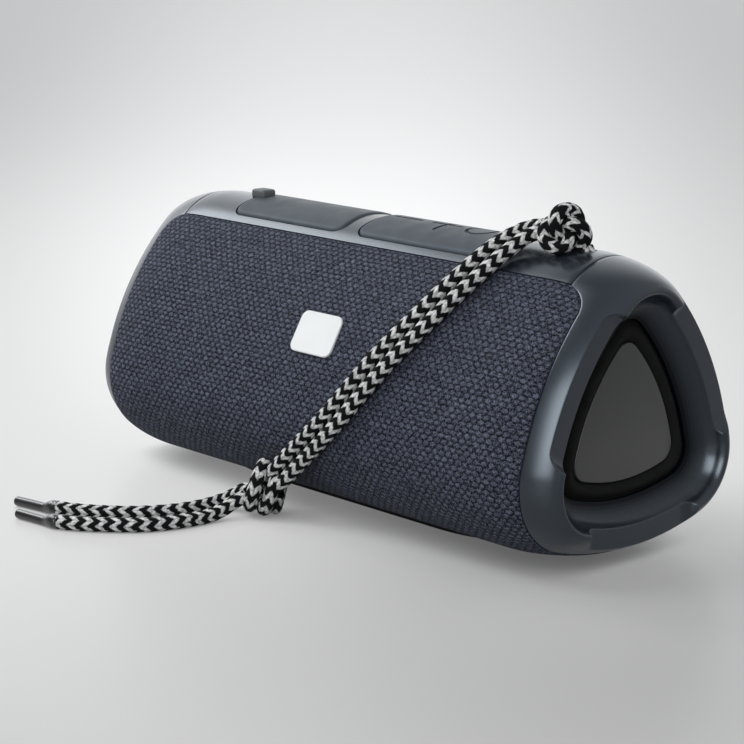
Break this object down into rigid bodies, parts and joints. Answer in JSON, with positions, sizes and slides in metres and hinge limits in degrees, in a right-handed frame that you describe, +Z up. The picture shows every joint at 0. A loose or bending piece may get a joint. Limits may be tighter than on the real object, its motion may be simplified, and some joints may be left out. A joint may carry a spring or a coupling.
{
  "type": "portable speaker",
  "caption": "Portable speaker of rounded-triangle section wrapped in fabric, with press keys, a hinged port cover, end radiators and a braided lanyard.",
  "frame": {"origin": "middle of the footprint, on the floor under the rubber feet", "axes": "+Z up, +X along the body towards the lanyard end, -Y out of the front with the badge"},
  "size_m": [0.1996, 0.1471, 0.0978],
  "materials": {
    "satin_plastic": "satin slate grey moulded plastic",
    "rubber_pad": "matte grey-green moulded rubber",
    "black_rubber": "soft black rubber",
    "fabric": "coarse navy speaker fabric, plain weave",
    "gloss_plate": "glossy dark grey, bare",
    "white_badge": "white, bare",
    "inner_plastic": "black moulded plastic",
    "steel": "bare pressed steel",
    "paper_cone": "coated paper",
    "board": "green circuit board",
    "cell_wrap": "blue shrink wrap",
    "braid": "black and white herringbone braid",
    "aglet": "dark shrink tube tip"
  },
  "bodies": {
    "speaker": {"aux_socket": "inner_plastic", "battery_cradle": "inner_plastic", "enclosure": "inner_plastic", "fabric_wrap": "fabric", "far_aglet": "aglet", "far_tail": "braid", "front_badge": "white_badge", "front_foot": "black_rubber", "key_board": "board", "keypad": "rubber_pad", "lanyard_anchor": "inner_plastic", "lanyard_loop": "braid", "left_battery_cell": "cell_wrap", "left_cone_surround": "black_rubber", "left_driver_basket": "steel", "left_driver_guard": "steel", "left_driver_magnet": "steel", "left_end_cap": "satin_plastic", "left_radiator_frame": "inner_plastic", "left_radiator_surround": "black_rubber", "lower_knot": "braid", "lower_strand": "braid", "main_board": "board", "minus_switch": "steel", "near_aglet": "aglet", "near_tail": "braid", "plus_switch": "steel", "port_board": "board", "port_tray": "inner_plastic", "rear_foot": "black_rubber", "right_battery_cell": "cell_wrap", "right_cone_surround": "black_rubber", "right_driver_basket": "steel", "right_driver_guard": "steel", "right_driver_magnet": "steel", "right_end_cap": "satin_plastic", "right_radiator_frame": "inner_plastic", "right_radiator_surround": "black_rubber", "ring_switch": "steel", "top_strip": "satin_plastic", "upper_knot": "braid", "upper_strand": "braid", "usb_socket": "steel"},
    "port_cover": {"port_cover": "rubber_pad"},
    "minus_key": {"minus_key": "rubber_pad"},
    "plus_key": {"plus_key": "rubber_pad"},
    "ring_key": {"ring_key": "rubber_pad"},
    "left_radiator": {"left_radiator_plate": "gloss_plate"},
    "right_radiator": {"right_radiator_plate": "gloss_plate"},
    "left_cone": {"left_driver_cone": "paper_cone"},
    "right_cone": {"right_driver_cone": "paper_cone"}
  },
  "joints": [
    {"name": "port_cover_hinge", "type": "hinge", "parent": "speaker", "child": "port_cover", "pos_m": [-0.011, 0, 0.08632], "axis": [0, 1, 0], "range_deg": [0, 110]},
    {"name": "minus_key_press", "type": "slide", "parent": "speaker", "child": "minus_key", "axis": [0, 0, -1], "range_m": [0, 0.0006], "stiffness_N_per_m": 1500},
    {"name": "plus_key_press", "type": "slide", "parent": "speaker", "child": "plus_key", "axis": [0, 0, -1], "range_m": [0, 0.0006], "stiffness_N_per_m": 1500},
    {"name": "ring_key_press", "type": "slide", "parent": "speaker", "child": "ring_key", "axis": [0, 0, -1], "range_m": [0, 0.0006], "stiffness_N_per_m": 1500},
    {"name": "left_radiator_slide", "type": "slide", "parent": "speaker", "child": "left_radiator", "axis": [1, 0, 0], "range_m": [-0.002, 0.002], "stiffness_N_per_m": 900},
    {"name": "right_radiator_slide", "type": "slide", "parent": "speaker", "child": "right_radiator", "axis": [1, 0, 0], "range_m": [-0.002, 0.002], "stiffness_N_per_m": 900},
    {"name": "left_cone_slide", "type": "slide", "parent": "speaker", "child": "left_cone", "axis": [0, -0.866, 0.5], "range_m": [-0.0012, 0.0012], "stiffness_N_per_m": 1200},
    {"name": "right_cone_slide", "type": "slide", "parent": "speaker", "child": "right_cone", "axis": [0, -0.866, 0.5], "range_m": [-0.0012, 0.0012], "stiffness_N_per_m": 1200}
  ]
}
